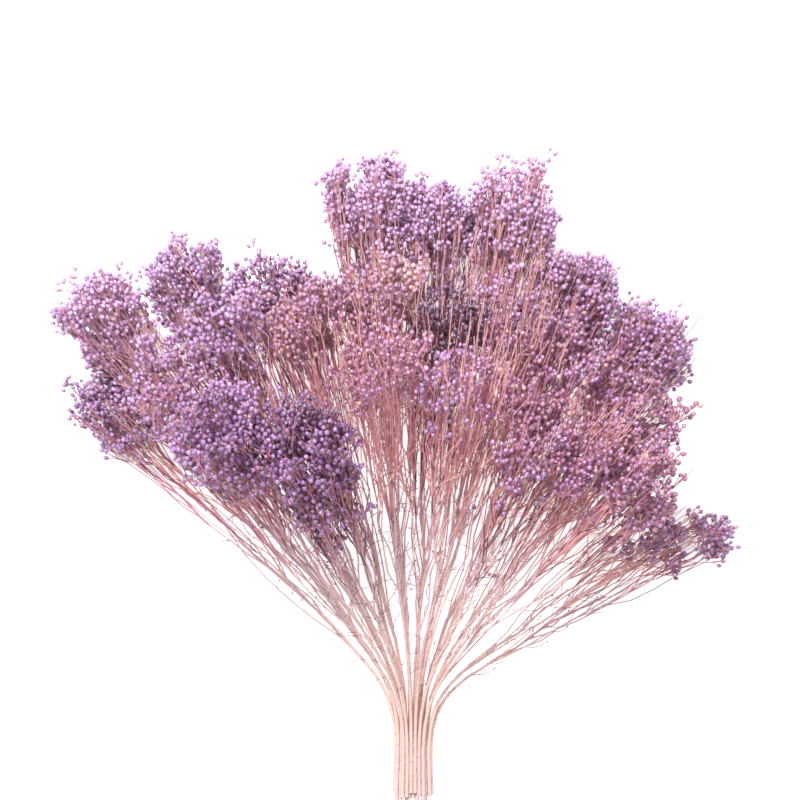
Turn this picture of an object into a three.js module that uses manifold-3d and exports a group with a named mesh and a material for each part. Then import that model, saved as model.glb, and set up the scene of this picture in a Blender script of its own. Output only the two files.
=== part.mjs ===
// A bunch of dried, dyed broom bloom laid down on a table.
// Cut stems lie side by side at their ends, arch apart like a fan and fork into brooms of fine twigs,
// each twig ending in a small round seed capsule. Each cut stem, with all that grows on it, is one solid.
// Units are millimetres. +Y runs from the cut ends to the tips, +Z is up from the table,
// and the origin is the bottom centre of the whole bunch.

import * as THREE from "three";
import { mergeVertices } from "three/addons/utils/BufferGeometryUtils.js";
import Module from "manifold-3d";

const wasm = await Module();
wasm.setup();

// Stems
const STEM_ACROSS_FLATS = 3.3;
const STEM_GAP = 0.3;
const STEM_SIDES = 6;
const STEM_TOP_RADIUS = 1.15;
const CUT_END = -66; // where the stems are cut, along Y from the waist of the bunch
const CUT_END_SPREAD = 9;
const SWAY = 2.4; // how far a stem wanders from its smooth arch
const ARCH_STATIONS = [-32, 4, 38, 80];
const FORKS = [0.32, 0.45, 0.58]; // where branches leave the stem, as shares of the reach
const STEM_TOP = 0.7;

// The fan: stems start parallel, have turned to their own directions by ARCH_END, and then run straight
const ARCH_START = -70;
const ARCH_END = 80;
const APEX_Y = (ARCH_START + ARCH_END) / 2; // the straight parts all point away from here
const APEX_Z = 3;
const WAIST_X = 12.7; // the waist of the bunch, seen from the bottom centre of its box
const WAIST_Y = -204;

// Seed capsules and their stalks
const CAPSULE_RADIUS = 2.9; // to its edges
const CAPSULE_LENGTH = 5.8;
const CAPSULE_SHOULDER = 2.6; // from the stalk to the widest place
const CAPSULE_SIDES = 3;
const CALYX_RADIUS = 1; // where the stalk widens to hold the capsule
const STALK_LENGTH = 60;
const GIRTH_PER_CAPSULE = 2.7; // a wider head carries more capsules on its crown
const SIDE_CAPSULES = 4;

// Heads: shares are of the reach of a spray, or of the free width round its axis
const CLEARANCE = 3.4; // from the middle of a capsule to the next spray
const TABLE_PRESS = 1.12; // how much too wide a head is for the room under it
const CROWN_DROP = 24; // how much lower the rim of a head is than its middle
const CORE_SIDES = 6;
const CORE_BASE = 0.6;
const CORE_WIDTH = 0.3;
const CORE_DEPTH = 36; // from the top of the head down to the twigs packed inside it
const BRANCH_RADIUS = 0.9;
const BRANCH_TIP_RADIUS = 0.6;
const BRANCH_END = 0.8;
const GOLDEN_ANGLE = Math.PI * (3 - Math.sqrt(5));

// The sprays, by layer from the table up and from left to right in each layer.
// lean is the angle from +Y towards +X, rise the angle above the table, both in degrees.
// reach is from the fan's apex to the top of the head, and girth is the half-width of the head.
const LAYERS = [
  [
    { lean: -44.5, rise: 6, reach: 414, girth: 36 },
    { lean: -38, rise: 7, reach: 482, girth: 40 },
    { lean: -27.5, rise: 6, reach: 468, girth: 38 },
    { lean: -17.5, rise: 8, reach: 420, girth: 40 },
    { lean: -5, rise: 7, reach: 482, girth: 42 },
    { lean: 3, rise: 6, reach: 470, girth: 40 },
    { lean: 11.5, rise: 7, reach: 482, girth: 42 },
    { lean: 21, rise: 7, reach: 430, girth: 42 },
    { lean: 32.5, rise: 6, reach: 414, girth: 42 },
    { lean: 58.5, rise: 6, reach: 322, girth: 24 },
  ],
  [
    { lean: -34.5, rise: 20, reach: 408, girth: 42 },
    { lean: -25, rise: 20, reach: 424, girth: 42 },
    { lean: -14, rise: 20, reach: 410, girth: 42 },
    { lean: -4.5, rise: 19, reach: 412, girth: 40 },
    { lean: 4.5, rise: 21, reach: 390, girth: 38 },
    { lean: 13, rise: 20, reach: 406, girth: 42 },
    { lean: 23, rise: 20, reach: 388, girth: 42 },
    { lean: 35, rise: 20, reach: 374, girth: 42 },
    { lean: 50, rise: 17, reach: 298, girth: 28 },
  ],
  [
    { lean: -30, rise: 34, reach: 390, girth: 50 },
    { lean: -20.5, rise: 36, reach: 350, girth: 50 },
    { lean: -5, rise: 33, reach: 390, girth: 44 },
    { lean: 8, rise: 34, reach: 374, girth: 44 },
    { lean: 23, rise: 36, reach: 350, girth: 50 },
    { lean: 37.5, rise: 33, reach: 358, girth: 50 },
  ],
];

const UP = new THREE.Vector3(0, 0, 1);
const AHEAD = new THREE.Vector3(0, 1, 0);
const APEX = new THREE.Vector3(WAIST_X, WAIST_Y + APEX_Y, APEX_Z);

const smoothStep = (t) => {
  const u = Math.min(Math.max(t, 0), 1);
  return u * u * (3 - 2 * u);
};

// A number from 0 to 1 that is always the same for the same spray and use.
const drawn = (spray, use) => {
  const wave = Math.sin(spray * 12.9898 + use * 78.233) * 43758.5453;
  return wave - Math.floor(wave);
};

// How far a stem has travelled in its own direction once it is s along the bunch.
const turned = (s) => {
  const span = ARCH_END - ARCH_START;
  const t = Math.min(Math.max((s - ARCH_START) / span, 0), 1);
  return span * (t ** 3 - t ** 4 / 2) + Math.max(s - ARCH_END, 0);
};

const ease = (s) => smoothStep((s - ARCH_START) / (ARCH_END - ARCH_START));

// Each spray with its direction, two directions across it, and its place in the packed cut ends.
const layOut = () => {
  const pitch = STEM_ACROSS_FLATS + STEM_GAP;
  const bottom = STEM_ACROSS_FLATS / Math.sqrt(3);
  return LAYERS.flatMap((layer, level) =>
    layer.map((form, place) => {
      const lean = THREE.MathUtils.degToRad(form.lean);
      const rise = THREE.MathUtils.degToRad(form.rise);
      const direction = new THREE.Vector3(
        Math.sin(lean) * Math.cos(rise),
        Math.cos(lean) * Math.cos(rise),
        Math.sin(rise),
      );
      const across = direction.clone().cross(UP).normalize();
      return {
        ...form,
        direction,
        across,
        above: across.clone().cross(direction),
        packed: new THREE.Vector3(
          (place - (layer.length - 1) / 2) * pitch,
          0,
          bottom + level * pitch * Math.sin(Math.PI / 3) - APEX_Z,
        ),
      };
    }),
  ).map((spray, index) => ({ ...spray, index: index + 1 }));
};

const sprays = layOut();

// The unit vector across a spray at an angle round its axis.
const sideways = (spray, around) =>
  spray.across
    .clone()
    .multiplyScalar(Math.cos(around))
    .addScaledVector(spray.above, Math.sin(around));

// The angle from a spray's axis to the edge of its own space, which ends short of halfway to each
// neighbour and just under the table, so that the lowest capsules are pressed flat on it.
const freeAngle = (spray, around, distance) => {
  const side = sideways(spray, around);
  const angleTo = (wall) => {
    const away = -side.dot(wall);
    return away > 1e-6 ? Math.atan(spray.direction.dot(wall) / away) : Math.PI;
  };
  const neighbours = sprays
    .filter((other) => other !== spray)
    .map((other) => angleTo(spray.direction.clone().sub(other.direction).normalize()));
  return Math.max(
    Math.min(
      ...neighbours.map((edge) => edge - CLEARANCE / distance),
      TABLE_PRESS * angleTo(UP),
      Math.atan(spray.girth / spray.reach),
    ),
    0,
  );
};

// A point of a spray at an angle off its axis, kept above the table.
const offAxis = (spray, around, angle, distance) => {
  const point = spray.direction
    .clone()
    .multiplyScalar(Math.cos(angle))
    .addScaledVector(sideways(spray, around), Math.sin(angle))
    .multiplyScalar(distance)
    .add(APEX);
  point.z = Math.max(point.z, CAPSULE_RADIUS);
  return point;
};

// A point in a spray's own space: share is 0 on its axis and 1 at the edge.
const inSpray = (spray, around, share, distance) =>
  offAxis(spray, around, share * freeAngle(spray, around, distance), distance);

// A point of the main stem, s along the bunch from its waist.
const onStem = (spray, s) => {
  const fade = smoothStep((s - 60) / 80) * smoothStep((0.6 * spray.reach - s) / 60);
  const swing = SWAY * fade;
  const phase = 2 * Math.PI * drawn(spray.index, 1);
  return new THREE.Vector3(WAIST_X, WAIST_Y, APEX_Z)
    .addScaledVector(spray.packed, 1 - ease(s))
    .addScaledVector(AHEAD, s - turned(s))
    .addScaledVector(spray.direction, turned(s))
    .addScaledVector(spray.across, swing * Math.sin(s / 34 + phase))
    .addScaledVector(spray.above, swing * Math.cos(s / 41 + phase));
};

// A three.js geometry as a closed solid with its faces outwards.
const solid = (geometry) => {
  const bare = geometry.clone();
  bare.deleteAttribute("normal");
  bare.deleteAttribute("uv");
  const merged = mergeVertices(bare, 1e-3);
  const whole = [];
  for (let i = 0; i < merged.index.count; i += 3) {
    const corners = [0, 1, 2].map((k) => merged.index.array[i + k]);
    if (new Set(corners).size === 3) whole.push(...corners);
  }
  return new wasm.Manifold(
    new wasm.Mesh({
      numProp: 3,
      vertProperties: new Float32Array(merged.attributes.position.array),
      triVerts: new Uint32Array(whole),
    }),
  );
};

// A tapering stem or twig through a list of points: a cylinder bent along them.
const twig = (points, startRadius, endRadius, sides) => {
  const last = points.length - 1;
  const geometry = new THREE.CylinderGeometry(1, 1, last, sides, last);
  const position = geometry.attributes.position;
  for (let i = 0; i < position.count; i++) {
    const station = Math.round(position.getY(i) + last / 2);
    const along = points[Math.min(station + 1, last)]
      .clone()
      .sub(points[Math.max(station - 1, 0)])
      .normalize();
    const level = along.clone().cross(UP).normalize();
    const upright = level.clone().cross(along);
    const radius = THREE.MathUtils.lerp(startRadius, endRadius, station / last);
    const point = points[station]
      .clone()
      .addScaledVector(level, position.getX(i) * radius)
      .addScaledVector(upright, position.getZ(i) * radius);
    position.setXYZ(i, point.x, point.y, point.z);
  }
  return solid(geometry);
};

const mainStem = (spray) => {
  const cut = CUT_END - CUT_END_SPREAD * drawn(spray.index, 2);
  const straight = [...FORKS, STEM_TOP].map((share) => APEX_Y + share * spray.reach);
  const stations = [cut, ...ARCH_STATIONS, ...straight];
  return twig(
    stations.map((s) => onStem(spray, s)),
    STEM_ACROSS_FLATS / Math.sqrt(3),
    STEM_TOP_RADIUS,
    STEM_SIDES,
  );
};

// A branch leaves the stem, swings out and then runs beside it into the head.
const branch = (spray, fork, number) => {
  const around = number * GOLDEN_ANGLE + 2 * Math.PI * drawn(spray.index, 3);
  const start = spray.reach * fork;
  const end = spray.reach * BRANCH_END;
  const points = [0, 0.4, 1].map((t) => {
    const distance = THREE.MathUtils.lerp(start, end, t);
    return t === 0
      ? onStem(spray, APEX_Y + start)
      : inSpray(spray, around, 0.7 * CORE_WIDTH, distance);
  });
  return twig(points, BRANCH_RADIUS, BRANCH_TIP_RADIUS, 3);
};

// The radius of the packed twigs inside a head, as a share of its free width, by distance.
const coreProfile = (spray) => [
  [0, CORE_BASE * spray.reach],
  [0.7 * CORE_WIDTH, (CORE_BASE + 0.06) * spray.reach],
  [CORE_WIDTH, spray.reach - CORE_DEPTH - 20],
  [0, spray.reach - CORE_DEPTH],
];

const coreShare = (spray, distance) => {
  const profile = coreProfile(spray);
  const next = profile.findIndex(([, height]) => height > distance);
  if (next < 1) return 0;
  const [[low, from], [high, to]] = [profile[next - 1], profile[next]];
  return THREE.MathUtils.mapLinear(distance, from, to, low, high);
};

// The angle from the axis to the flat side of the core between two of its edges.
const coreAngle = (spray, around, distance) => {
  const step = (2 * Math.PI) / CORE_SIDES;
  const edge = Math.floor(around / step);
  const past = around - edge * step;
  const [before, after] = [edge, edge + 1].map(
    (number) => coreShare(spray, distance) * freeAngle(spray, number * step, distance),
  );
  return (
    (before * after * Math.sin(step)) /
    (before * Math.sin(past) + after * Math.sin(step - past))
  );
};

const core = (spray) => {
  const outline = coreProfile(spray).map(([share, distance]) => new THREE.Vector2(share, distance));
  const geometry = new THREE.LatheGeometry(outline, CORE_SIDES, Math.PI / 2);
  const position = geometry.attributes.position;
  for (let i = 0; i < position.count; i++) {
    const around = Math.atan2(position.getZ(i), position.getX(i));
    const share = Math.hypot(position.getX(i), position.getZ(i));
    const point = inSpray(spray, around, share, position.getY(i));
    position.setXYZ(i, point.x, point.y, point.z);
  }
  return solid(geometry);
};

// A seed capsule on its stalk, whose root is sunk in the packed twigs.
const capsule = (spray, around, share, distance) => {
  const rootDistance = Math.max(distance - STALK_LENGTH, (CORE_BASE + 0.05) * spray.reach);
  const rootAngle = Math.min(
    0.85 * share * freeAngle(spray, around, rootDistance),
    0.75 * coreAngle(spray, around, rootDistance),
  );
  const root = offAxis(spray, around, rootAngle, rootDistance);
  const middle = inSpray(spray, around, share, distance);
  const along = middle.clone().sub(root);
  const length = along.length() - CAPSULE_SHOULDER;
  const profile = [
    [0, 0],
    [CALYX_RADIUS, length],
    [CAPSULE_RADIUS, length + CAPSULE_SHOULDER],
    [0, length + CAPSULE_LENGTH],
  ].map(([x, y]) => new THREE.Vector2(x, y));
  const geometry = new THREE.LatheGeometry(profile, CAPSULE_SIDES);
  geometry.applyQuaternion(new THREE.Quaternion().setFromUnitVectors(AHEAD, along.normalize()));
  geometry.translate(root.x, root.y, root.z);
  return solid(geometry);
};

// Capsules spread evenly over the crown of the head by the golden angle, with a few down its sides.
const capsules = (spray) => {
  const turn = 2 * Math.PI * drawn(spray.index, 4);
  const count = Math.round(spray.girth / GIRTH_PER_CAPSULE);
  const crown = Array.from({ length: count }, (_, k) => {
    const share = Math.sqrt((k + 0.5) / count);
    const distance = spray.reach - CROWN_DROP * share ** 2 - 9 * drawn(spray.index, 20 + k);
    return capsule(spray, k * GOLDEN_ANGLE + turn, share, distance);
  });
  const sides = Array.from({ length: SIDE_CAPSULES }, (_, k) => {
    const around = turn + (2 * Math.PI * k) / SIDE_CAPSULES;
    return capsule(spray, around, 0.9, spray.reach - CROWN_DROP - 16 - 8 * k);
  });
  return [...crown, ...sides];
};

const dye = new THREE.MeshStandardMaterial({ color: 0xa06a98, roughness: 0.75, metalness: 0 });

const sprayMesh = (spray) => {
  const branches = FORKS.map((fork, number) => branch(spray, fork, number));
  const grown = wasm.Manifold.union([mainStem(spray), core(spray), ...branches, ...capsules(spray)]);
  const { numProp, vertProperties, triVerts } = grown.getMesh();
  const geometry = new THREE.BufferGeometry();
  const corners = new THREE.InterleavedBuffer(vertProperties, numProp);
  geometry.setAttribute("position", new THREE.InterleavedBufferAttribute(corners, 3, 0));
  geometry.setIndex(new THREE.BufferAttribute(triVerts, 1));
  const mesh = new THREE.Mesh(geometry, dye);
  mesh.name = `spray_${String(spray.index).padStart(2, "0")}`;
  return mesh;
};

const bunch = new THREE.Group();
bunch.name = "dried_broom_bloom";
sprays.forEach((spray) => bunch.add(sprayMesh(spray)));

export default bunch;
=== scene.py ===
"""A bunch of dried, dyed broom bloom lying on a pale table.

Each cut stem forks into branches and fine twigs, and each twig ends in a small cluster of round seed
capsules on stalks. A spray keeps to its own share of the fan, so that no spray grows through another.
The bunch lies along +Y from its cut ends to its tips, in metres, and the camera looks straight down.
"""

import math
from dataclasses import dataclass, field
from functools import cache
from random import Random

import bmesh
import bpy
from bpy.props import FloatProperty, FloatVectorProperty, IntProperty, PointerProperty
from mathutils import Matrix, Vector


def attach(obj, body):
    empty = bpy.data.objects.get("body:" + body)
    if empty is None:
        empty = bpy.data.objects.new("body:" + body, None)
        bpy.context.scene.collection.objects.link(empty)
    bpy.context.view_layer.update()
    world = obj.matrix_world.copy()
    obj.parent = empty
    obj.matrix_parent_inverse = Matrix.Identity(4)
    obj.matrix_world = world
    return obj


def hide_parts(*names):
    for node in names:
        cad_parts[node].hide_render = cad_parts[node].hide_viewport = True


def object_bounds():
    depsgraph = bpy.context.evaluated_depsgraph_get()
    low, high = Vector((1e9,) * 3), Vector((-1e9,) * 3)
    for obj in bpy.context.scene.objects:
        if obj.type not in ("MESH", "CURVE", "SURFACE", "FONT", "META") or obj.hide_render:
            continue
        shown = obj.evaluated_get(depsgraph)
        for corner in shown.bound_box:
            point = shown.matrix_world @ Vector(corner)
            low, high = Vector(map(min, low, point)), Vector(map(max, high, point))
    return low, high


bl_info = {
    "name": "Dried Broom Bloom",
    "version": (1, 0, 0),
    "blender": (4, 5, 0),
    "location": "3D View > Sidebar > Broom Bloom",
    "description": "Grows a dried, dyed bunch of broom bloom along its fan of cut stems",
    "category": "Add Mesh",
}

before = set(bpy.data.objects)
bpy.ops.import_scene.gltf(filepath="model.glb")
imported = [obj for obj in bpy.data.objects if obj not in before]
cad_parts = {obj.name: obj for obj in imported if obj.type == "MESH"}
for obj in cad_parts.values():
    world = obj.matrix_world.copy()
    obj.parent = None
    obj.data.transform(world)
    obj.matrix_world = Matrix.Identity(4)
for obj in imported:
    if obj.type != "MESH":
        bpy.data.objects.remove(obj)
CAD_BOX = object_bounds()

MM = 0.001
UP = Vector((0, 0, 1))
AHEAD = Vector((0, 1, 0))
GOLDEN_ANGLE = math.pi * (3 - math.sqrt(5))

# The fan: stems start side by side, arch to their own directions, and run straight from ARCH_END on
WAIST = Vector((12.7, -204, 3)) * MM
ARCH_START = -70 * MM
ARCH_END = 80 * MM
APEX_AHEAD = (ARCH_START + ARCH_END) / 2
APEX = WAIST + APEX_AHEAD * AHEAD
STEM_PITCH = 3.6 * MM
LOWEST_STEM = 1.9 * MM
CUT_END = -66 * MM
CUT_END_SPREAD = 9 * MM
STEM_SHARE = 0.6  # how much of its spray's reach a main stem has
THIN_SHARE = 0.8  # how much of the reach a stem would need to thin to its top width
UNEVENNESS = (0.95, 1.05)  # how much thinner or thicker it is in places

# How far a main stem sways to and fro and kinks at its forks, and how far from the waist that begins
SWAY = 3.6 * MM
SWAY_START = 60 * MM
SWAY_EASE = 80 * MM
SWAY_END = 60 * MM  # how far before its tip a stem begins to run straight again
SWAY_ACROSS = 34 * MM  # how quickly it sways from side to side
SWAY_ABOVE = 41 * MM  # and up and down
KINK = 1.1 * MM
KINK_START = 20 * MM
KINK_EASE = 60 * MM

# Heads
TOP = CAD_BOX[1][2]  # no twig or capsule has its middle higher
OVERLAP = 4 * MM  # how far the twigs of a spray may reach in among its neighbour's
RAGGEDNESS = 7 * MM  # how much further in places, and less far in others
RAG_LENGTH = 7 * MM  # how quickly these places follow each other
TABLE_PRESS = 1.12  # how far a low head would spread, as a share of the room that the table leaves it
CROWN_DROP = 34 * MM  # how much lower the rim of a head may be than its middle
HEAD_SPREAD = 1.05  # how far the loosest twigs reach, as a share of the girth
USUAL_GIRTH = 44 * MM  # the girth of a head that has the usual number of twigs
ROUNDING = 0.6  # how much less deep in a head the twigs at its rim may end than those on its axis
LOBING = 0.32  # how far the twigs of a branch draw together, from 0 to 1

# Where branches leave the stem and end, and how high their crowns are, as shares of the reach
FORKS = (0.5, 0.07)  # the highest and the lowest fork
BRANCH_ENDS = (0.78, 0.9)
CROWNS = (0.94, 1)
FEWEST_BRANCHES = 0.4  # the share of the usual branches that a spray without twigs would have
LIMB_SPREAD = 0.85  # how far out in the head the outermost branch ends
LIMB_TWIST = 1.6  # how far round the stem a branch may come on its way, in radians
TWIST_PACE = 1.4  # how much sooner than at its end it has come round
LIMB_BOWS = (1.8, 3)  # how much sooner than at its end it has spread to its place in the head
PARTING_PACE = 5  # how much sooner than at its end a branch or twig runs clear of what it left
DYE_SPREAD = 0.12  # how much the branches of a spray differ in dye

# Where twigs leave their branch, and side twigs their twig, as shares of its length
TWIG_FORKS = (0.4, 0.92)
TWIG_BOWS = (1.3, 3)
SIDE_TWIG_FORKS = (0.6, 0.94)
SIDE_TWIG_ANGLES = (0.2, 0.55)  # in radians
SIDE_TWIG_LENGTHS = (11, 28)  # in millimetres
SIDE_TWIG_KNEE = 1.4 * MM
SIDE_TWIGS = (1, 1, 2, 3)  # how many side twigs a twig may have
CROWN_CROWDING = 1.8  # above 1, more twigs end near the crown than low down
BARE_LOWEST = -30  # how far past its crown a bare twig ends at least, in millimetres
BARE_HIGHEST = 12  # and at most, on a spray of the usual wispiness

# The tone of a twig, below which it is pale or rose, and how far it follows the dye of its spray
PALE_BELOW = 0.46
ROSE_BELOW = 0.92
TONE_BY_DYE = 0.9

# Spurs, and where they grow, as shares of the length of the main stem or a branch
STEM_SPURS = (0.5, 0.95)
LIMB_SPURS = (0.05, 0.6)
SPUR_ANGLES = (0.5, 1.2)  # in radians
SPUR_CURLS = (0.2, 0.7)
SPUR_STEPS = 4
SPUR_STEP_LENGTHS = (1.6, 6)  # in millimetres
SPUR_WIDTH = 0.4  # its radius, as a share of the width of a twig's tip
CLUSTER_BELOW = 0.008  # a spur ends in a small cluster below this luck
BUD_BELOW = 0.5  # and in a bud below this
BUD_SCALES = (0.25, 0.45)
BUD_DYE = 0.85

# How far above the table the middle of a thin part stays
SIDE_TIP_FLOOR = 2 * MM
SPUR_FLOOR = 2.4 * MM
STALK_FLOOR = 0.5 * MM
CAPSULE_FLOOR = 0.7  # as a share of a capsule's width

# Clusters
CROWDING = 0.94  # how close the middles of two capsules may be, as a share of a capsule's width
CAPSULE_SCALES = (0.82, 1.16)
CLUSTER_DEPTH = 3  # how far capsules stand before and behind their cluster's middle, in millimetres
TRIES = 4  # how often a capsule looks for a free place
TRY_STEP = 2.4  # how much further off it looks each time, in millimetres
STALK_ROOTS = (4, 15)  # how far below its cluster a stalk leaves the twig, in millimetres
STALK_SINK = 0.3  # how far it is sunk in its capsule, in millimetres
UMBEL_OPENING = 0.8  # how far the capsules of a cluster lean apart
CAPSULE_TILT = 0.3  # and how far each one may lean its own way
CLUSTER_DYE_SPREAD = 0.1  # how much the clusters of a branch, and the capsules of a cluster, differ
PALE_SHARE = 0.06  # how many capsules took much less dye
PALE_BY = 0.35  # and how much less

# What the camera looks straight down on
PICTURE_MIDDLE = WAIST + Vector((-11.3 * MM, 273 * MM, 0))

# What is drawn once for a spray
SWAY_PHASE, CUT_LENGTH, LIMB_TURN, TWIG_TURN, RAG_PHASE = range(1, 6)

# What a strand is covered with, as the number of its material
BARK, PALE_TWIG, ROSE_TWIG, DEEP_TWIG, PITH = range(5)


@dataclass
class Spray:
    """One cut stem with all that grows on it.

    Lean and rise are its direction in degrees, reach is how far it grows from the apex, and girth is half
    the width of its head. Dye runs from 0, cream, over pink, mauve and lilac to 1, deep violet. Fullness is
    how many twigs it has, and depth how far down its head they may end. Wispiness is how many more bare
    twigs it has than most, and how far they stand out. Ruddiness is how many more of its twigs are rose
    or deep than its dye gives.
    """

    lean: float
    rise: float
    reach: float
    girth: float
    dye: float
    fullness: float
    depth: float
    wispiness: float = 1
    ruddiness: float = 0
    index: int = 0
    direction: Vector = None
    across: Vector = None
    above: Vector = None
    packed: Vector = None
    walls: list = field(default_factory=list)

    @property
    def name(self):
        return f"spray_{self.index:02d}"


# From the table up, and from left to right
LAYERS = (
    (
        Spray(-44.5, 6, 414 * MM, 36 * MM, 0.76, 1.1, 60 * MM),
        Spray(-38, 7, 482 * MM, 40 * MM, 0.5, 1.75, 62 * MM),
        Spray(-27.5, 6, 468 * MM, 38 * MM, 0.8, 1.35, 70 * MM),
        Spray(-17.5, 8, 420 * MM, 40 * MM, 0.78, 1.25, 60 * MM),
        Spray(-5, 7, 482 * MM, 42 * MM, 0.56, 1.8, 60 * MM, 2),
        Spray(3, 6, 470 * MM, 40 * MM, 0.6, 1.7, 55 * MM),
        Spray(11.5, 7, 482 * MM, 42 * MM, 0.54, 1.85, 66 * MM, 3),
        Spray(21, 7, 430 * MM, 42 * MM, 0.56, 1.8, 66 * MM, 2),
        Spray(32.5, 6, 414 * MM, 42 * MM, 0.56, 1.7, 66 * MM, 3),
        Spray(58.5, 6, 322 * MM, 24 * MM, 0.66, 0.8, 12 * MM),
    ),
    (
        Spray(-34.5, 20, 408 * MM, 42 * MM, 0.54, 0.85, 45 * MM),
        Spray(-25, 20, 424 * MM, 42 * MM, 0.68, 0.9, 45 * MM),
        Spray(-14, 20, 410 * MM, 42 * MM, 0.28, 0.9, 42 * MM),
        Spray(-4.5, 19, 412 * MM, 40 * MM, 0.2, 0.9, 40 * MM),
        # Dyed past the deepest violet, as painted shade for the dark shadow in the middle of the bunch
        Spray(4.5, 21, 390 * MM, 38 * MM, 1.4, 0.9, 50 * MM, 4),
        Spray(13, 20, 406 * MM, 42 * MM, 0.4, 0.42, 35 * MM, 3, 0.3),
        Spray(23, 20, 388 * MM, 42 * MM, 0.42, 0.65, 40 * MM, 2, 0.4),
        Spray(35, 20, 374 * MM, 42 * MM, 0.38, 0.8, 50 * MM, 1, 0.35),
        Spray(50, 17, 298 * MM, 28 * MM, 0.66, 0.5, 16 * MM, 2),
    ),
    (
        Spray(-30, 34, 390 * MM, 50 * MM, 0.76, 1.4, 80 * MM),
        Spray(-20.5, 36, 350 * MM, 50 * MM, 0.84, 1.8, 130 * MM),
        Spray(-5, 33, 390 * MM, 44 * MM, 0.32, 0.5, 30 * MM, 4),
        Spray(8, 34, 374 * MM, 44 * MM, 0.52, 0.4, 26 * MM, 5),
        Spray(23, 36, 350 * MM, 50 * MM, 0.38, 0.6, 36 * MM, 3, 0.6),
        Spray(37.5, 33, 358 * MM, 50 * MM, 0.37, 0.95, 50 * MM, 3, 0.35),
    ),
)


def lay_out():
    """Gives every spray its directions, its place among the cut ends, and the walls of its own space."""
    sprays = [spray for layer in LAYERS for spray in layer]
    for level, layer in enumerate(LAYERS):
        for place, spray in enumerate(layer):
            lean, rise = math.radians(spray.lean), math.radians(spray.rise)
            spray.direction = Vector(
                (
                    math.sin(lean) * math.cos(rise),
                    math.cos(lean) * math.cos(rise),
                    math.sin(rise),
                )
            )
            spray.across = spray.direction.cross(UP).normalized()
            spray.above = spray.across.cross(spray.direction)
            spray.packed = Vector(
                (
                    (place - (len(layer) - 1) / 2) * STEM_PITCH,
                    0,
                    LOWEST_STEM + level * STEM_PITCH * math.sin(math.pi / 3) - WAIST.z,
                )
            )
    for index, spray in enumerate(sprays):
        spray.index = index + 1
        spray.walls = [
            (spray.direction - other.direction).normalized() for other in sprays if other is not spray
        ]
    return sprays


SPRAYS = lay_out()


def smooth_step(t):
    """0 up to 0, 1 from 1 on, and a smooth slope between them."""
    u = min(max(t, 0), 1)
    return u * u * (3 - 2 * u)


def lerp(a, b, t):
    return a + (b - a) * t


def drawn(spray, use):
    """A number from 0 to 1 that is always the same for the same spray and use."""
    return (math.sin(spray.index * 12.9898 + use * 78.233) * 43758.5453) % 1


def turned(s):
    """How far a stem has travelled in its own direction once it is s along the bunch."""
    span = ARCH_END - ARCH_START
    t = min(max((s - ARCH_START) / span, 0), 1)
    return span * (t**3 - t**4 / 2) + max(s - ARCH_END, 0)


def on_stem(spray, s):
    """A point of the main stem, s along the bunch from its waist."""
    ease = smooth_step((s - ARCH_START) / (ARCH_END - ARCH_START))
    before_tip = STEM_SHARE * spray.reach - s
    fade = smooth_step((s - SWAY_START) / SWAY_EASE) * smooth_step(before_tip / SWAY_END)
    phase = 2 * math.pi * drawn(spray, SWAY_PHASE)
    return (
        WAIST
        + spray.packed * (1 - ease)
        + AHEAD * (s - turned(s))
        + spray.direction * turned(s)
        + spray.across * SWAY * fade * math.sin(s / SWAY_ACROSS + phase)
        + spray.above * SWAY * fade * math.cos(s / SWAY_ABOVE + phase)
    )


def overlap(spray, distance):
    """How far a spray reaches past the middle between it and a neighbour, at a distance from the apex."""
    phase = 2 * math.pi * drawn(spray, RAG_PHASE)
    return OVERLAP + RAGGEDNESS * math.sin(distance / RAG_LENGTH + phase)


def free_angle(spray, around, distance):
    """The angle from a spray's axis to the edge of its own space, round its axis."""
    side = spray.across * math.cos(around) + spray.above * math.sin(around)

    def angle_to(wall):
        away = -side.dot(wall)
        return math.atan(spray.direction.dot(wall) / away) if away > 1e-6 else math.pi

    neighbours = min(angle_to(wall) for wall in spray.walls) + overlap(spray, distance) / distance
    table = TABLE_PRESS * angle_to(UP)
    return max(min(neighbours, table, HEAD_SPREAD * math.atan(spray.girth / spray.reach)), 0)


def in_spray(spray, spot, distance):
    """A point in a spray's own space: spot is (0, 0) on its axis and 1 long at its edge."""
    around = math.atan2(spot.y, spot.x)
    angle = spot.length * free_angle(spray, around, distance)
    side = spray.across * math.cos(around) + spray.above * math.sin(around)
    return APEX + (spray.direction * math.cos(angle) + side * math.sin(angle)) * distance


def settle(spray, point, floor):
    """Moves a point back into its spray's own space, above the table and under the top of the bunch."""
    point = point.copy()
    limit = overlap(spray, (point - APEX).length)
    for wall in spray.walls:
        over = -limit - (point - APEX).dot(wall)
        if over > 0:
            point += wall * over
    point.z = min(max(point.z, floor), TOP)
    return point


@dataclass
class Strand:
    """A stem, branch, twig or stalk: its points, its radius at each, and what covers it."""

    points: list
    radii: list
    skin: int = BARK


@dataclass
class Capsule:
    """A seed capsule: where its stalk ends, where it points, its size and its dye."""

    base: Vector
    direction: Vector
    scale: float
    dye: float
    roll: float


class Crowd:
    """Remembers where capsules are, so that the next one keeps clear of them."""

    def __init__(self, spacing):
        self.spacing = spacing
        self.cells = {}

    def cell(self, point):
        return tuple(math.floor(value / self.spacing) for value in point)

    def is_free(self, point):
        x, y, z = self.cell(point)
        steps = (-1, 0, 1)
        return all(
            (other - point).length >= self.spacing
            for i in steps
            for j in steps
            for k in steps
            for other in self.cells.get((x + i, y + j, z + k), ())
        )

    def add(self, point):
        self.cells.setdefault(self.cell(point), []).append(point)


def disc_spot(number, count, turn, width=1.0):
    """A spot of an even golden-angle spread over a disc."""
    radius = width * math.sqrt((number + 0.5) / count)
    around = number * GOLDEN_ANGLE + turn
    return Vector((radius * math.cos(around), radius * math.sin(around)))


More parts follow.
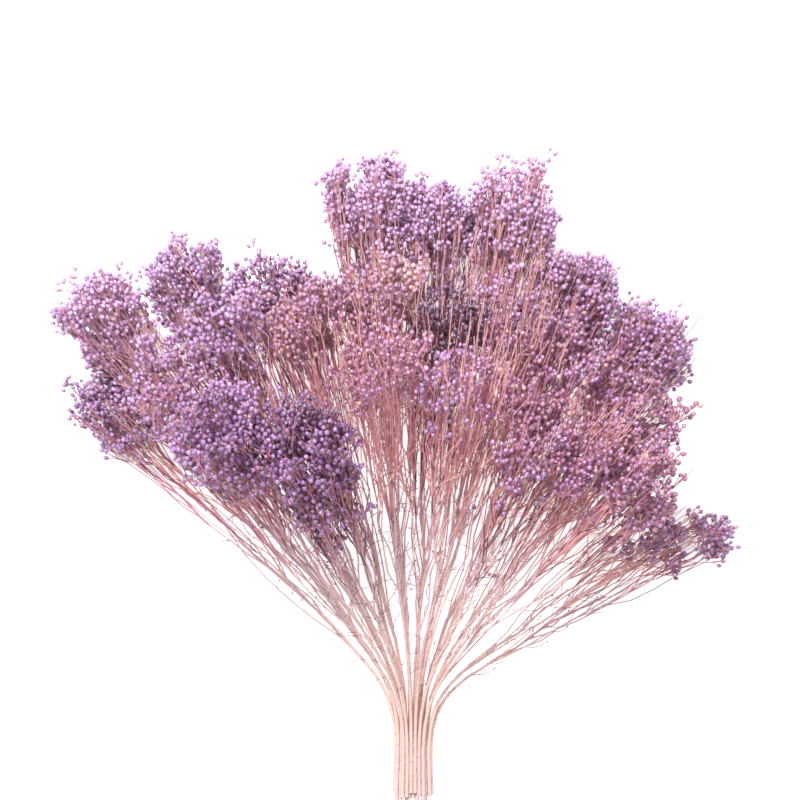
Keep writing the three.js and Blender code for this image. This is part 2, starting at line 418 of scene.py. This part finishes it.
def wander(random, size):
    """A random step of up to a size along each axis."""
    return Vector([random.uniform(-size, size) for _ in range(3)])


def kinked(spray, s, random):
    """A point of the main stem where it bends a little, because it forks there."""
    point = on_stem(spray, s) + wander(random, KINK) * smooth_step((s - KINK_START) / KINK_EASE)
    point.z = max(point.z, LOWEST_STEM)
    return point


def grow_main_stem(spray, stems, forks, random):
    """The stem from its cut end through its waist, straight from one fork to the next."""
    steps = 12
    cut = CUT_END - CUT_END_SPREAD * drawn(spray, CUT_LENGTH)
    low = [lerp(cut, forks[0], i / steps) for i in range(steps)]
    points = [on_stem(spray, s) for s in low] + [kinked(spray, s, random) for s in forks]
    radii = []
    for s in low + forks:
        thinner = smooth_step((s - cut) / (THIN_SHARE * spray.reach))
        radii.append(lerp(stems.width / 2, stems.top_width / 2, thinner) * random.uniform(*UNEVENNESS))
    return Strand(points, radii)


@dataclass
class Branch:
    """A branch's course: from where on the stem, to which spot of the head, how high, and how it bends."""

    start: float
    end: float
    crown: float
    spot: Vector
    bow: float
    twist: float
    dye: float

    def spot_at(self, distance):
        t = (distance - self.start) / (self.end - self.start)
        spot = self.spot * smooth_step(self.bow * t)
        spot.rotate(Matrix.Rotation(self.twist * (1 - smooth_step(TWIST_PACE * t)), 2))
        return spot


@dataclass
class Habit:
    """How a kind of strand grows: its steps, how far each strays, its floor and how soon it thins."""

    steps: int
    straying: float
    floor: float
    thinning: float


BRANCH_HABIT = Habit(10, 1.5 * MM, 1 * MM, 0.7)
TWIG_HABIT = Habit(6, 2.5 * MM, 0.6 * MM, 0.8)


def grow_strand(spray, foot, course, habit, widths, random):
    """A strand from its foot along a course, which gives the point t of the way along it."""
    points, radii = [foot], [widths[0] / 2]
    for i in range(1, habit.steps + 1):
        t = i / habit.steps
        points.append(settle(spray, course(t) + wander(random, habit.straying), habit.floor))
        radii.append(lerp(widths[0] / 2, widths[1] / 2, t**habit.thinning))
    return Strand(points, radii)


def along_strand(strand, t):
    """A point of a strand, t of the way along it, and the way it runs there."""
    place = t * (len(strand.points) - 1)
    i = min(int(place), len(strand.points) - 2)
    first, second = strand.points[i : i + 2]
    return first.lerp(second, place - i), (second - first).normalized()


def astray(heading, angle, random):
    """A heading turned by an angle to some side."""
    side = Matrix.Rotation(random.uniform(0, 2 * math.pi), 3, heading) @ heading.orthogonal().normalized()
    return heading * math.cos(angle) + side * math.sin(angle)


class Grower:
    """Grows one spray: its strands and its seed capsules."""

    def __init__(self, spray, crowd):
        self.spray = spray
        self.crowd = crowd
        self.stems = bpy.context.scene.broom_stems
        self.looks = bpy.context.scene.broom_capsules
        self.random = Random(100 + spray.index)
        self.strands = []
        self.capsules = []

    def grow(self):
        """Grows the main stem and its branches, their twigs with and without capsules, and the spurs."""
        spray, stems, random = self.spray, self.stems, self.random
        branches = self.branches()
        forks = [APEX_AHEAD + branch.start for branch in branches]
        stem = grow_main_stem(spray, stems, forks + [APEX_AHEAD + STEM_SHARE * spray.reach], random)
        feet = stem.points[-len(branches) - 1 : -1]
        limbs = [self.limb(branch, foot) for branch, foot in zip(branches, feet)]
        self.strands += [stem, *limbs]
        for branch, limb in zip(branches, limbs):
            self.cluster(limb.points[-1], along_strand(limb, 1)[1], self.looks.most, branch.dye)

        count = round(stems.twigs * spray.fullness * (spray.girth / USUAL_GIRTH) ** 1.5)
        for number in range(count):
            spot = disc_spot(number, count, 2 * math.pi * drawn(spray, TWIG_TURN))
            choice = min(range(len(branches)), key=lambda i: (branches[i].spot - spot).length)
            self.twig(branches[choice], limbs[choice], spot)
        for _ in range(round(stems.wisps * spray.wispiness)):
            spot = disc_spot(random.random(), 1, random.uniform(0, 2 * math.pi))
            choice = random.randrange(len(branches))
            self.twig(branches[choice], limbs[choice], spot, bare=True)
        for _ in range(stems.spurs):
            self.spur(random.choice(limbs + [stem]))

    def branches(self):
        """The courses of the branches, from the lowest fork up: a spray of few twigs has fewer."""
        spray, random = self.spray, self.random
        turn = 2 * math.pi * drawn(spray, LIMB_TURN)
        count = round(self.stems.branches * min(1, lerp(FEWEST_BRANCHES, 1, spray.fullness)))
        branches = []
        for number in range(count):
            share = (number + random.random()) / count
            branches.append(
                Branch(
                    start=spray.reach * lerp(*FORKS, share),
                    end=spray.reach * random.uniform(*BRANCH_ENDS),
                    crown=spray.reach * random.uniform(*CROWNS),
                    spot=disc_spot(number, count, turn, LIMB_SPREAD),
                    bow=random.uniform(*LIMB_BOWS),
                    twist=random.uniform(-LIMB_TWIST, LIMB_TWIST),
                    dye=spray.dye + random.uniform(-DYE_SPREAD, DYE_SPREAD),
                )
            )
        return sorted(branches, key=lambda branch: branch.start)

    def limb(self, branch, foot):
        """A branch that leaves the main stem at its foot and soon follows its own course."""
        spray, stems = self.spray, self.stems

        def course(t):
            distance = lerp(branch.start, branch.end, t)
            stem = on_stem(spray, APEX_AHEAD + distance)
            place = in_spray(spray, branch.spot_at(distance), distance)
            return stem.lerp(place, smooth_step(PARTING_PACE * t))

        widths = stems.branch_width, stems.tip_width
        return grow_strand(spray, foot, course, BRANCH_HABIT, widths, self.random)

    def twig_skin(self):
        """What covers a twig: a deeply dyed spray has more dark twigs."""
        tone = self.random.random() + TONE_BY_DYE * (self.spray.dye - 0.5) + self.spray.ruddiness
        return PALE_TWIG if tone < PALE_BELOW else ROSE_TWIG if tone < ROSE_BELOW else DEEP_TWIG

    def twig(self, branch, limb, spot, bare=False):
        """A twig that forks off a branch and runs to a spot of the head."""
        spray, stems, random = self.spray, self.stems, self.random
        spot = spot.lerp(branch.spot, LOBING)
        rim = branch.crown - CROWN_DROP * spot.length_squared * random.uniform(0.5, 1)
        depth = spray.depth * (1 - ROUNDING * spot.length_squared) * random.random() ** CROWN_CROWDING
        if bare:
            end = rim + random.uniform(BARE_LOWEST, BARE_HIGHEST * spray.wispiness) * MM
        else:
            end = rim - depth
        fork = random.uniform(*TWIG_FORKS)
        foot, _ = along_strand(limb, fork)
        start = lerp(branch.start, branch.end, fork)
        start_spot = branch.spot_at(start)
        bow = random.uniform(*TWIG_BOWS)

        def course(t):
            place = in_spray(spray, start_spot.lerp(spot, smooth_step(bow * t)), lerp(start, end, t))
            return foot.lerp(place, smooth_step(PARTING_PACE * t))

        twig = grow_strand(spray, foot, course, TWIG_HABIT, (stems.twig_width, stems.tip_width), random)
        twig.skin = PALE_TWIG if bare else self.twig_skin()
        self.strands.append(twig)
        if bare:
            return
        heading = (twig.points[-1] - twig.points[-3]).normalized()
        count = random.randint(self.looks.fewest, self.looks.most)
        self.cluster(twig.points[-1], heading, count, branch.dye)
        for _ in range(random.choice(SIDE_TWIGS)):
            self.side_twig(twig, branch.dye)

    def side_twig(self, twig, dye):
        """A short twig on a twig, with a small cluster."""
        spray, random = self.spray, self.random
        foot, heading = along_strand(twig, random.uniform(*SIDE_TWIG_FORKS))
        heading = astray(heading, random.uniform(*SIDE_TWIG_ANGLES), random)
        tip = settle(spray, foot + heading * random.uniform(*SIDE_TWIG_LENGTHS) * MM, SIDE_TIP_FLOOR)
        knee = settle(spray, foot.lerp(tip, 0.5) + wander(random, SIDE_TWIG_KNEE), TWIG_HABIT.floor)
        self.strands.append(Strand([foot, knee, tip], [self.stems.tip_width / 2] * 3, twig.skin))
        count = random.randint(2, self.looks.fewest)
        self.cluster(tip, (tip - knee).normalized(), count, dye)

    def spur(self, limb):
        """A thin curled side twig low down, bare, with a bud or, now and then, with a few capsules."""
        random = self.random
        places = STEM_SPURS if limb is self.strands[0] else LIMB_SPURS
        foot, heading = along_strand(limb, random.uniform(*places))
        heading = astray(heading, random.uniform(*SPUR_ANGLES), random)
        curl = heading.orthogonal().normalized() * random.uniform(*SPUR_CURLS)
        step = random.uniform(*SPUR_STEP_LENGTHS) * MM
        points = [foot]
        for number in range(SPUR_STEPS):
            heading = (heading + curl * number * 0.5).normalized()
            point = points[-1] + heading * step
            point.z = max(point.z, SPUR_FLOOR)
            points.append(point)
        thin = self.stems.tip_width * SPUR_WIDTH
        self.strands.append(Strand(points, [thin] * SPUR_STEPS + [thin * 0.6], DEEP_TWIG))
        luck = random.random()
        if luck < CLUSTER_BELOW:
            self.cluster(points[-1] + heading * 6 * MM, heading, self.looks.fewest, self.spray.dye)
        elif luck < BUD_BELOW:
            scale = random.uniform(*BUD_SCALES)
            self.capsules.append(Capsule(points[-1], heading, scale, BUD_DYE, roll=0))

    def cluster(self, end, heading, count, dye):
        """The stalks and capsules at the end of a twig, spread like a small umbel."""
        looks, random = self.looks, self.random
        side = heading.orthogonal().normalized()
        other = heading.cross(side)
        turn = random.uniform(0, 2 * math.pi)
        shade = dye + random.uniform(-CLUSTER_DYE_SPREAD, CLUSTER_DYE_SPREAD)
        skin = self.twig_skin()
        width = looks.cluster_width * math.sqrt(count / looks.most)
        for number in range(count):
            spot = disc_spot(number, count, turn, width / 2)
            outward = side * spot.x + other * spot.y
            lift = lerp(CLUSTER_DEPTH, -CLUSTER_DEPTH, spot.length / (width / 2))
            lift += random.uniform(-CLUSTER_DEPTH, CLUSTER_DEPTH)
            leaning = outward * (UMBEL_OPENING / width)
            direction = (heading + leaning + wander(random, CAPSULE_TILT)).normalized()
            scale = random.uniform(*CAPSULE_SCALES)
            for attempt in range(TRIES):
                further = attempt * TRY_STEP * (-1) ** attempt
                middle = end + outward + heading * (lift + further) * MM
                middle = settle(self.spray, middle, looks.width * CAPSULE_FLOOR)
                if self.crowd.is_free(middle):
                    break
            else:
                continue
            self.crowd.add(middle)
            base = middle - direction * looks.length * scale / 2
            base.z = max(base.z, STALK_FLOOR)
            root = settle(self.spray, end - heading * random.uniform(*STALK_ROOTS) * MM, STALK_FLOOR)
            thin = self.stems.tip_width / 2
            stalk_end = base + direction * STALK_SINK * MM
            self.strands.append(Strand([root, stalk_end], [thin * 0.9, thin], skin))
            paler = PALE_BY if random.random() < PALE_SHARE else 0
            dye = shade - paler + random.uniform(-CLUSTER_DYE_SPREAD, CLUSTER_DYE_SPREAD)
            self.capsules.append(Capsule(base, direction, scale, dye, random.uniform(0, 2 * math.pi)))


@cache
def grow_sprays():
    """The strands and the capsules of every spray, with no two capsules in one place."""
    crowd = Crowd(bpy.context.scene.broom_capsules.width * CROWDING)
    growers = [Grower(spray, crowd) for spray in SPRAYS]
    for grower in growers:
        grower.grow()
    return growers


# Materials


class Value:
    """An output of a node that can stand in a sum: each operator below adds a Math node."""

    def __init__(self, shader, held):
        self.shader = shader
        self.held = held

    def sum(self, operation, *operands):
        return self.shader.node("ShaderNodeMath", {"operation": operation}, dict(enumerate(operands)))

    def __add__(self, other):
        return self.sum("ADD", self, other)

    def __sub__(self, other):
        return self.sum("SUBTRACT", self, other)

    def __mul__(self, other):
        return self.sum("MULTIPLY", self, other)

    def __rsub__(self, other):
        return self.sum("SUBTRACT", other, self)

    def __truediv__(self, other):
        return self.sum("DIVIDE", self, other)

    def above(self, limit, soft):
        """0 below a limit and 1 above it, with a soft edge."""
        return self.shader.node(
            "ShaderNodeMapRange",
            {"interpolation_type": "SMOOTHSTEP"},
            {"Value": self, "From Min": limit - soft, "From Max": limit + soft},
        )

    __radd__ = __add__
    __rmul__ = __mul__


class Shader:
    """A material with one Principled shader, built from Python sums."""

    def __init__(self, name):
        self.material = bpy.data.materials.new(name)
        self.material.use_nodes = True
        self.tree = self.material.node_tree
        self.surface = self.tree.nodes["Principled BSDF"]

    def feed(self, slot, value):
        value = value.held if isinstance(value, Value) else value
        if isinstance(value, bpy.types.NodeSocket):
            self.tree.links.new(value, slot)
        elif slot.type == "RGBA":
            slot.default_value = (*value[:3], 1)
        else:
            slot.default_value = value

    def node(self, kind, settings, inputs, output=0):
        """Adds a node of a type: first its settings, then the values or links of its sockets."""
        node = self.tree.nodes.new(kind)
        for name, setting in settings.items():
            if name == "stops":
                ramp = node.color_ramp
                while len(ramp.elements) < len(setting):
                    ramp.elements.new(1)
                for element, (position, colour) in zip(ramp.elements, setting):
                    element.position = position
                    element.color = (*colour[:3], 1)
            else:
                setattr(node, name, setting)
        for name, value in inputs.items():
            self.feed(node.inputs[name], value)
        return Value(self, node.outputs[output])

    def attribute(self, name):
        return self.node("ShaderNodeAttribute", {"attribute_name": name}, {}, "Fac")

    def position(self):
        return self.node("ShaderNodeTexCoord", {}, {}, "Object")

    def noise(self, scale, detail=2.0):
        return self.node(
            "ShaderNodeTexNoise",
            {},
            {"Vector": self.position(), "Scale": scale, "Detail": detail},
            "Fac",
        )

    def height(self):
        return self.node("ShaderNodeSeparateXYZ", {}, {0: self.position()}, "Z")

    def distance_from(self, point):
        return self.node(
            "ShaderNodeVectorMath", {"operation": "DISTANCE"}, {0: self.position(), 1: point}, "Value"
        )

    def ramp(self, factor, *stops):
        return self.node("ShaderNodeValToRGB", {"stops": stops}, {"Fac": factor})

    def mix(self, factor, first, second, blend="MIX"):
        return self.node(
            "ShaderNodeMix",
            {"data_type": "RGBA", "blend_type": blend},
            {0: factor, 6: first, 7: second},
            2,
        )

    def bump(self, height, distance):
        return self.node("ShaderNodeBump", {}, {"Height": height, "Distance": distance})

    def finish(self, **sockets):
        """Feeds the sockets of the Principled shader, with _ for the spaces in their names."""
        for name, value in sockets.items():
            self.feed(self.surface.inputs[name.replace("_", " ")], value)
        return self.material


def shown(red, green, blue):
    """A colour given as a screen shows it, from 0 to 255, turned into light."""
    return tuple(
        share / 12.92 if share <= 0.04045 else ((share + 0.055) / 1.055) ** 2.4
        for share in (red / 255, green / 255, blue / 255)
    )


def stem_colour(shader, stems, fine):
    """Peach near the cut ends, rose in the middle, mauve at the tips, and painted shade on the low twigs
    deep in the bunch.
    """
    away = shader.distance_from(WAIST)
    along = away * (1 / stems.fade_length)
    patch = (shader.noise(28) - 0.5) * 0.3 + (shader.noise(130) - 0.5) * 0.7
    course = shader.ramp(
        along + patch + fine,
        (0.0, stems.base_colour),
        (0.44, stems.low_colour),
        (0.7, stems.middle_colour),
        (0.92, stems.tip_colour),
    )
    # Painted shade: twigs low down among the heads, under the higher sprays, are drawn half way to the deep
    # colour
    painted_shade_band = along.above(0.62, 0.16) * (1 - along.above(0.93, 0.1))
    low = 1 - (shader.height() / away).above(0.36, 0.2)
    with_painted_shade = shader.mix(painted_shade_band * low * 0.5, course, stems.deep_dye_and_shade_colour)
    streak = shader.noise(420, 3.0)
    return shader.mix(streak.above(0.6, 0.2) * 0.35, with_painted_shade, shown(130, 70, 80), "MULTIPLY"), streak


def bark(stems):
    shader = Shader("dyed bark")
    colour, streak = stem_colour(shader, stems, 0.0)
    return shader.finish(
        Base_Color=colour,
        Roughness=0.55 + 0.25 * streak,
        Normal=shader.bump(streak, 0.25 * MM),
    )


def twig_skin(stems, name, shade, share):
    """The colour of the stems, drawn towards a shade of the twig's own."""
    shader = Shader(name)
    colour, streak = stem_colour(shader, stems, 0.1)
    return shader.finish(Base_Color=shader.mix(share, colour, shade), Roughness=0.5 + 0.25 * streak)


def pith(stems):
    shader = Shader("cut pith")
    grain = shader.noise(1500, 3.0)
    return shader.finish(
        Base_Color=shader.mix(grain, shown(226, 196, 160), shown(186, 142, 112)), Roughness=0.85
    )


def capsule_skin(looks):
    """Papery skin: pale patches over the dye that also stand as painted highlights, darker ribs with
    painted shade between them, a dark point and a dark calyx cup.

    The capsules at the tips of the longest stems, far from the waist, are painted paler, as painted
    backlight shining through the rim of the bunch.
    """
    shader = Shader("seed capsule")
    patch = shader.noise(480)
    grain = shader.noise(1600, 3.0)
    along = shader.attribute("along")
    ridge = shader.attribute("ridge")
    dye = shader.attribute("dye") + (patch - 0.5) * 0.7 + (grain - 0.5) * 0.25
    skin = shader.ramp(
        dye,
        (0.0, looks.cream_colour),
        (0.22, looks.pink_colour),
        (0.42, looks.mauve_colour),
        (0.6, looks.lilac_colour),
        (0.8, looks.violet_colour),
        (1.0, looks.deep_colour),
    )
    # Pale papery patches, laid on brighter than the bare skin shows, so that they also stand as painted
    # highlights
    papery = (patch * 0.5 + grain * 0.5).above(0.56, 0.1)
    pale_and_highlit = shader.mix(papery * 0.6, skin, looks.bleach_and_highlight_colour)
    # Painted backlight: capsules far from the waist, at the rim of the bunch, are washed pale as if the
    # light behind shone through them
    far = shader.distance_from(WAIST).above(0.41, 0.05)
    backlight_washed = shader.mix(far * 0.62, pale_and_highlit, looks.backlight_wash_colour)
    # Darker violet on alternate ribs: partly the capsule's own veins, partly painted shade between the ribs
    rib_veined_and_shaded = shader.mix(ridge * 0.3, backlight_washed, shown(120, 50, 120), "MULTIPLY")
    tipped = shader.mix(along.above(0.9, 0.07) * 0.8, rib_veined_and_shaded, looks.tip_colour)
    return shader.finish(
        Base_Color=shader.mix((1 - along.above(0.14, 0.12)) * 0.8, tipped, looks.calyx_colour),
        Roughness=0.25 + 0.3 * grain,
        Coat_Weight=0.8,
        Coat_Roughness=0.3,
        Normal=shader.bump(grain + ridge * 0.6, 0.15 * MM),
    )


# Settings


def length(name, description, default):
    return FloatProperty(
        name=name, description=description, default=default, min=0.01 * MM, unit="LENGTH", precision=5
    )


def colour(name, description, *rgb):
    return FloatVectorProperty(
        name=name, description=description, subtype="COLOR", size=3, min=0, max=1, default=shown(*rgb)
    )


def strength(name, description, default):
    return FloatProperty(name=name, description=description, default=default, min=0)


def power(name, description, default):
    return FloatProperty(name=name, description=description, default=default, min=0, unit="POWER")


class BroomStems(bpy.types.PropertyGroup):
    width: length("Stem width", "Thickness of a stem at its cut end", 3.5 * MM)
    top_width: length("Stem top width", "Thickness of a stem inside its head", 1.8 * MM)
    branch_width: length("Branch width", "Thickness of a branch where it leaves the stem", 1.75 * MM)
    twig_width: length("Twig width", "Thickness of a twig where it leaves its branch", 1 * MM)
    tip_width: length("Twig tip width", "Thickness of a twig under its capsules", 0.6 * MM)
    fade_length: length("Fade length", "How far from the waist the dye is at its full depth", 480 * MM)
    branches: IntProperty(name="Branches", description="Branches on each stem", default=8, min=1)
    twigs: IntProperty(name="Twigs", description="Twigs that an average head has", default=56, min=1)
    wisps: IntProperty(name="Bare twigs", description="Twigs without capsules", default=12, min=0)
    spurs: IntProperty(name="Spurs", description="Thin side twigs low on each spray", default=24, min=0)
    base_colour: colour("Base colour", "Stems at the cut end", 232, 200, 190)
    low_colour: colour("Lower colour", "Stems below the heads", 226, 194, 201)
    middle_colour: colour("Middle colour", "Twigs where the heads begin", 214, 132, 160)
    tip_colour: colour("Upper colour", "Twigs among the capsules", 224, 178, 206)
    pale_colour: colour("Pale twigs", "Twigs that took hardly any dye", 240, 180, 160)
    # Also the colour of the painted shade on the low twigs deep among the heads
    deep_dye_and_shade_colour: colour("Deep twigs", "Twigs that took the most dye", 104, 30, 62)


class BroomCapsules(bpy.types.PropertyGroup):
    width: length("Capsule width", "Width of a seed capsule", 4.1 * MM)
    length: length("Capsule length", "Length of a seed capsule with its tip", 4.7 * MM)
    cluster_width: length("Cluster width", "Width of the cluster that ends a twig", 17 * MM)
    fewest: IntProperty(name="Fewest", description="Fewest capsules in a cluster", default=4, min=2)
    most: IntProperty(name="Most", description="Most capsules in a cluster", default=7, min=1)
    cream_colour: colour("Cream pink", "Capsules that took hardly any dye", 214, 168, 152)
    pink_colour: colour("Pink", "Palest dyed capsules", 172, 100, 130)
    mauve_colour: colour("Mauve", "Usual dyed capsules", 156, 84, 134)
    lilac_colour: colour("Lilac", "Capsules that took the dye unevenly", 198, 154, 208)
    violet_colour: colour("Violet", "Well dyed capsules", 138, 80, 150)
    deep_colour: colour("Deep violet", "Deepest dyed capsules", 80, 34, 70)
    # Painted highlight: pale spots on the capsules that stand for light on them as well as for bare papery
    # skin
    bleach_and_highlight_colour: colour("Bleached", "Spots where the papery skin is nearly bare", 240, 220, 234)
    # Painted backlight: the paler colour of the capsules at the rim of the bunch
    backlight_wash_colour: colour("Faded", "Capsules at the tips of the longest stems", 222, 184, 230)
    tip_colour: colour("Tip", "The small point of a capsule", 90, 40, 110)
    calyx_colour: colour("Calyx", "The small cup under a capsule", 110, 50, 84)


class BroomStage(bpy.types.PropertyGroup):
    camera_height: length("Camera height", "Height of the camera above the table", 1500 * MM)
    field_width: length("Field width", "Width of the table that the camera sees", 696 * MM)
    table_colour: colour("Table colour", "The plain pale table", 226, 225, 226)
    table_glow: strength("Table glow", "Light that shines up through the table", 0.66)
    key_power: power("Key light", "Power of the small light from behind", 64)
    fill_power: power("Fill light", "Power of the wide light from the front", 14)
    sky: strength("Sky", "Strength of the even light from all round", 0.3)


# Pieces


def shown_object(name, mesh):
    piece = bpy.data.objects.new(name, mesh)
    bpy.context.scene.collection.objects.link(piece)
    return piece


def tube_mesh(strands, corners):
    """Round tubes along the strands, with flat closed ends."""
    curve = bpy.data.curves.new("tubes", "CURVE")
    curve.dimensions = "3D"
    curve.bevel_depth = 1
    curve.bevel_resolution = (corners - 4) // 2
    curve.use_fill_caps = True
    for strand in strands:
        spline = curve.splines.new("POLY")
        spline.points.add(len(strand.points) - 1)
        spline.points.foreach_set("co", [value for point in strand.points for value in (*point, 1)])
        spline.points.foreach_set("radius", strand.radii)
    holder = shown_object("tubes", curve)
    shown_now = holder.evaluated_get(bpy.context.evaluated_depsgraph_get())
    mesh = bpy.data.meshes.new_from_object(shown_now)
    bpy.data.objects.remove(holder)
    bpy.data.curves.remove(curve)
    return mesh


def finish_piece(spray, part, shape, *materials):
    """Turns a bmesh into a piece that stands for a spray's solid."""
    name = f"{spray.name}_{part}"
    mesh = bpy.data.meshes.new(name)
    shape.to_mesh(mesh)
    shape.free()
    for material in materials:
        mesh.materials.append(material)
    piece = shown_object(name, mesh)
    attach(piece, "root")
    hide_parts(spray.name)
    return piece


class BROOM_OT_grow_stems(bpy.types.Operator):
    """Grow the stems, branches, twigs and capsule stalks of every spray"""

    bl_idname = "broom.grow_stems"
    bl_label = "Grow Stems and Twigs"

    def execute(self, context):
        stems = context.scene.broom_stems
        materials = (
            bark(stems),
            twig_skin(stems, "pale twig", stems.pale_colour, 0.55),
            twig_skin(stems, "rose twig", stems.middle_colour, 0.2),
            twig_skin(stems, "deep twig", stems.deep_dye_and_shade_colour, 0.85),
            pith(stems),
        )
        for grower in grow_sprays():
            shape = bmesh.new()
            for skin in (BARK, PALE_TWIG, ROSE_TWIG, DEEP_TWIG):
                first = len(shape.faces)
                strands = [strand for strand in grower.strands if strand.skin == skin]
                shape.from_mesh(tube_mesh(strands, 6 if skin == BARK else 4))
                shape.faces.ensure_lookup_table()
                for face in shape.faces[first:]:
                    face.material_index = skin
            for face in shape.faces:
                if len(face.verts) > 4:
                    face.material_index = PITH
                    face.smooth = False
            finish_piece(grower.spray, "stems", shape, *materials)
        return {"FINISHED"}


def capsule_shape(looks):
    """One seed capsule that stands on the origin: a calyx cup, a round body and a small point."""
    profile = ((0, 0), (0.14, 0.7), (0.5, 1.0), (0.83, 0.55), (1, 0))
    rings = len(profile) - 1
    meridians = 6
    shape = bmesh.new()
    along = shape.verts.layers.float.new("along")
    ridge = shape.verts.layers.float.new("ridge")
    shape.verts.layers.float.new("dye")
    bmesh.ops.create_uvsphere(shape, u_segments=meridians, v_segments=rings, radius=1)
    shape.verts.index_update()
    shape.faces.sort(key=lambda face: sum(2**vert.index for vert in face.verts))  # the same each run
    for vert in shape.verts:
        ring = rings - round(math.acos(min(max(vert.co.z, -1), 1)) / math.pi * rings)
        height, radius = profile[ring]
        around = math.atan2(vert.co.y, vert.co.x)
        vert[along] = height
        vert[ridge] = round(around / (2 * math.pi) * meridians) % 2 if 0 < ring < rings else 0.5
        vert.co = (
            radius * looks.width / 2 * math.cos(around),
            radius * looks.width / 2 * math.sin(around),
            height * looks.length,
        )
    for face in shape.faces:
        face.smooth = True
    return shape


class BROOM_OT_set_capsules(bpy.types.Operator):
    """Set a seed capsule on the end of every stalk"""

    bl_idname = "broom.set_capsules"
    bl_label = "Set Seed Capsules"

    def execute(self, context):
        looks = context.scene.broom_capsules
        material = capsule_skin(looks)
        model = capsule_shape(looks)
        single = bpy.data.meshes.new("capsule")
        for grower in grow_sprays():
            head = bmesh.new()
            for capsule in grower.capsules:
                turn = Matrix.Rotation(capsule.roll, 4, "Z")
                aim = capsule.direction.to_track_quat("Z", "Y").to_matrix().to_4x4()
                size = Matrix.Scale(capsule.scale, 4)
                one = model.copy()
                one.transform(Matrix.Translation(capsule.base) @ aim @ turn @ size)
                dye = one.verts.layers.float["dye"]
                for vert in one.verts:
                    vert[dye] = capsule.dye
                one.to_mesh(single)
                one.free()
                head.from_mesh(single)
            finish_piece(grower.spray, "capsules", head, material)
        model.free()
        bpy.data.meshes.remove(single)
        return {"FINISHED"}


class BROOM_OT_lay_stage(bpy.types.Operator):
    """Lay the bunch on a pale table, light it softly and look straight down on it"""

    bl_idname = "broom.lay_stage"
    bl_label = "Lay the Stage"

    def execute(self, context):
        stage = context.scene.broom_stage
        self.table(stage)
        self.lights(context.scene, stage)
        self.camera(context.scene, stage)
        return {"FINISHED"}

    def table(self, stage):
        shape = bmesh.new()
        bmesh.ops.create_grid(shape, x_segments=1, y_segments=1, size=4)
        mesh = bpy.data.meshes.new("table")
        shape.to_mesh(mesh)
        shape.free()
        shader = Shader("pale table")
        mesh.materials.append(
            shader.finish(
                Base_Color=stage.table_colour,
                Roughness=0.9,
                Emission_Color=(1, 1, 1),
                Emission_Strength=stage.table_glow,
            )
        )
        shown_object("table", mesh)

    def lights(self, scene, stage):
        aim = Vector((0, 0.1, 0.1))
        for name, place, size, power in (
            ("key", Vector((-0.55, 1.0, 1.8)), 0.6, stage.key_power),
            ("fill", Vector((0.6, -0.4, 2.0)), 1.8, stage.fill_power),
        ):
            lamp = bpy.data.lights.new(name, "AREA")
            lamp.size = size
            lamp.energy = power
            holder = bpy.data.objects.new(name, lamp)
            holder.location = place
            holder.rotation_euler = (aim - place).to_track_quat("-Z", "Y").to_euler()
            scene.collection.objects.link(holder)
        scene.world = bpy.data.worlds.new("soft sky")
        scene.world.use_nodes = True
        sky = scene.world.node_tree.nodes["Background"]
        sky.inputs["Color"].default_value = (1, 1, 1, 1)
        sky.inputs["Strength"].default_value = stage.sky
        scene.view_settings.view_transform = "Standard"

    def camera(self, scene, stage):
        lens = bpy.data.cameras.new("camera")
        lens.sensor_width = 36
        lens.lens = lens.sensor_width * stage.camera_height / stage.field_width
        holder = bpy.data.objects.new("camera", lens)
        holder.location = PICTURE_MIDDLE
        holder.location.z = stage.camera_height
        scene.collection.objects.link(holder)
        scene.camera = holder


class BROOM_PT_panel(bpy.types.Panel):
    bl_label = "Broom Bloom"
    bl_idname = "BROOM_PT_panel"
    bl_space_type = "VIEW_3D"
    bl_region_type = "UI"
    bl_category = "Broom Bloom"

    def draw(self, context):
        for settings, operator in STEPS:
            box = self.layout.box()
            group = getattr(context.scene, settings)
            for name in group.__annotations__:
                box.prop(group, name)
            box.operator(operator)


STEPS = (
    ("broom_stems", "broom.grow_stems"),
    ("broom_capsules", "broom.set_capsules"),
    ("broom_stage", "broom.lay_stage"),
)
CLASSES = (
    BroomStems,
    BroomCapsules,
    BroomStage,
    BROOM_OT_grow_stems,
    BROOM_OT_set_capsules,
    BROOM_OT_lay_stage,
    BROOM_PT_panel,
)


def register():
    for one in CLASSES:
        bpy.utils.register_class(one)
    bpy.types.Scene.broom_stems = PointerProperty(type=BroomStems)
    bpy.types.Scene.broom_capsules = PointerProperty(type=BroomCapsules)
    bpy.types.Scene.broom_stage = PointerProperty(type=BroomStage)


def unregister():
    del bpy.types.Scene.broom_stems, bpy.types.Scene.broom_capsules, bpy.types.Scene.broom_stage
    for one in reversed(CLASSES):
        bpy.utils.unregister_class(one)


def main():
    register()
    bpy.ops.broom.lay_stage()
    bpy.ops.broom.grow_stems()
    bpy.ops.broom.set_capsules()


if __name__ == "__main__":
    main()
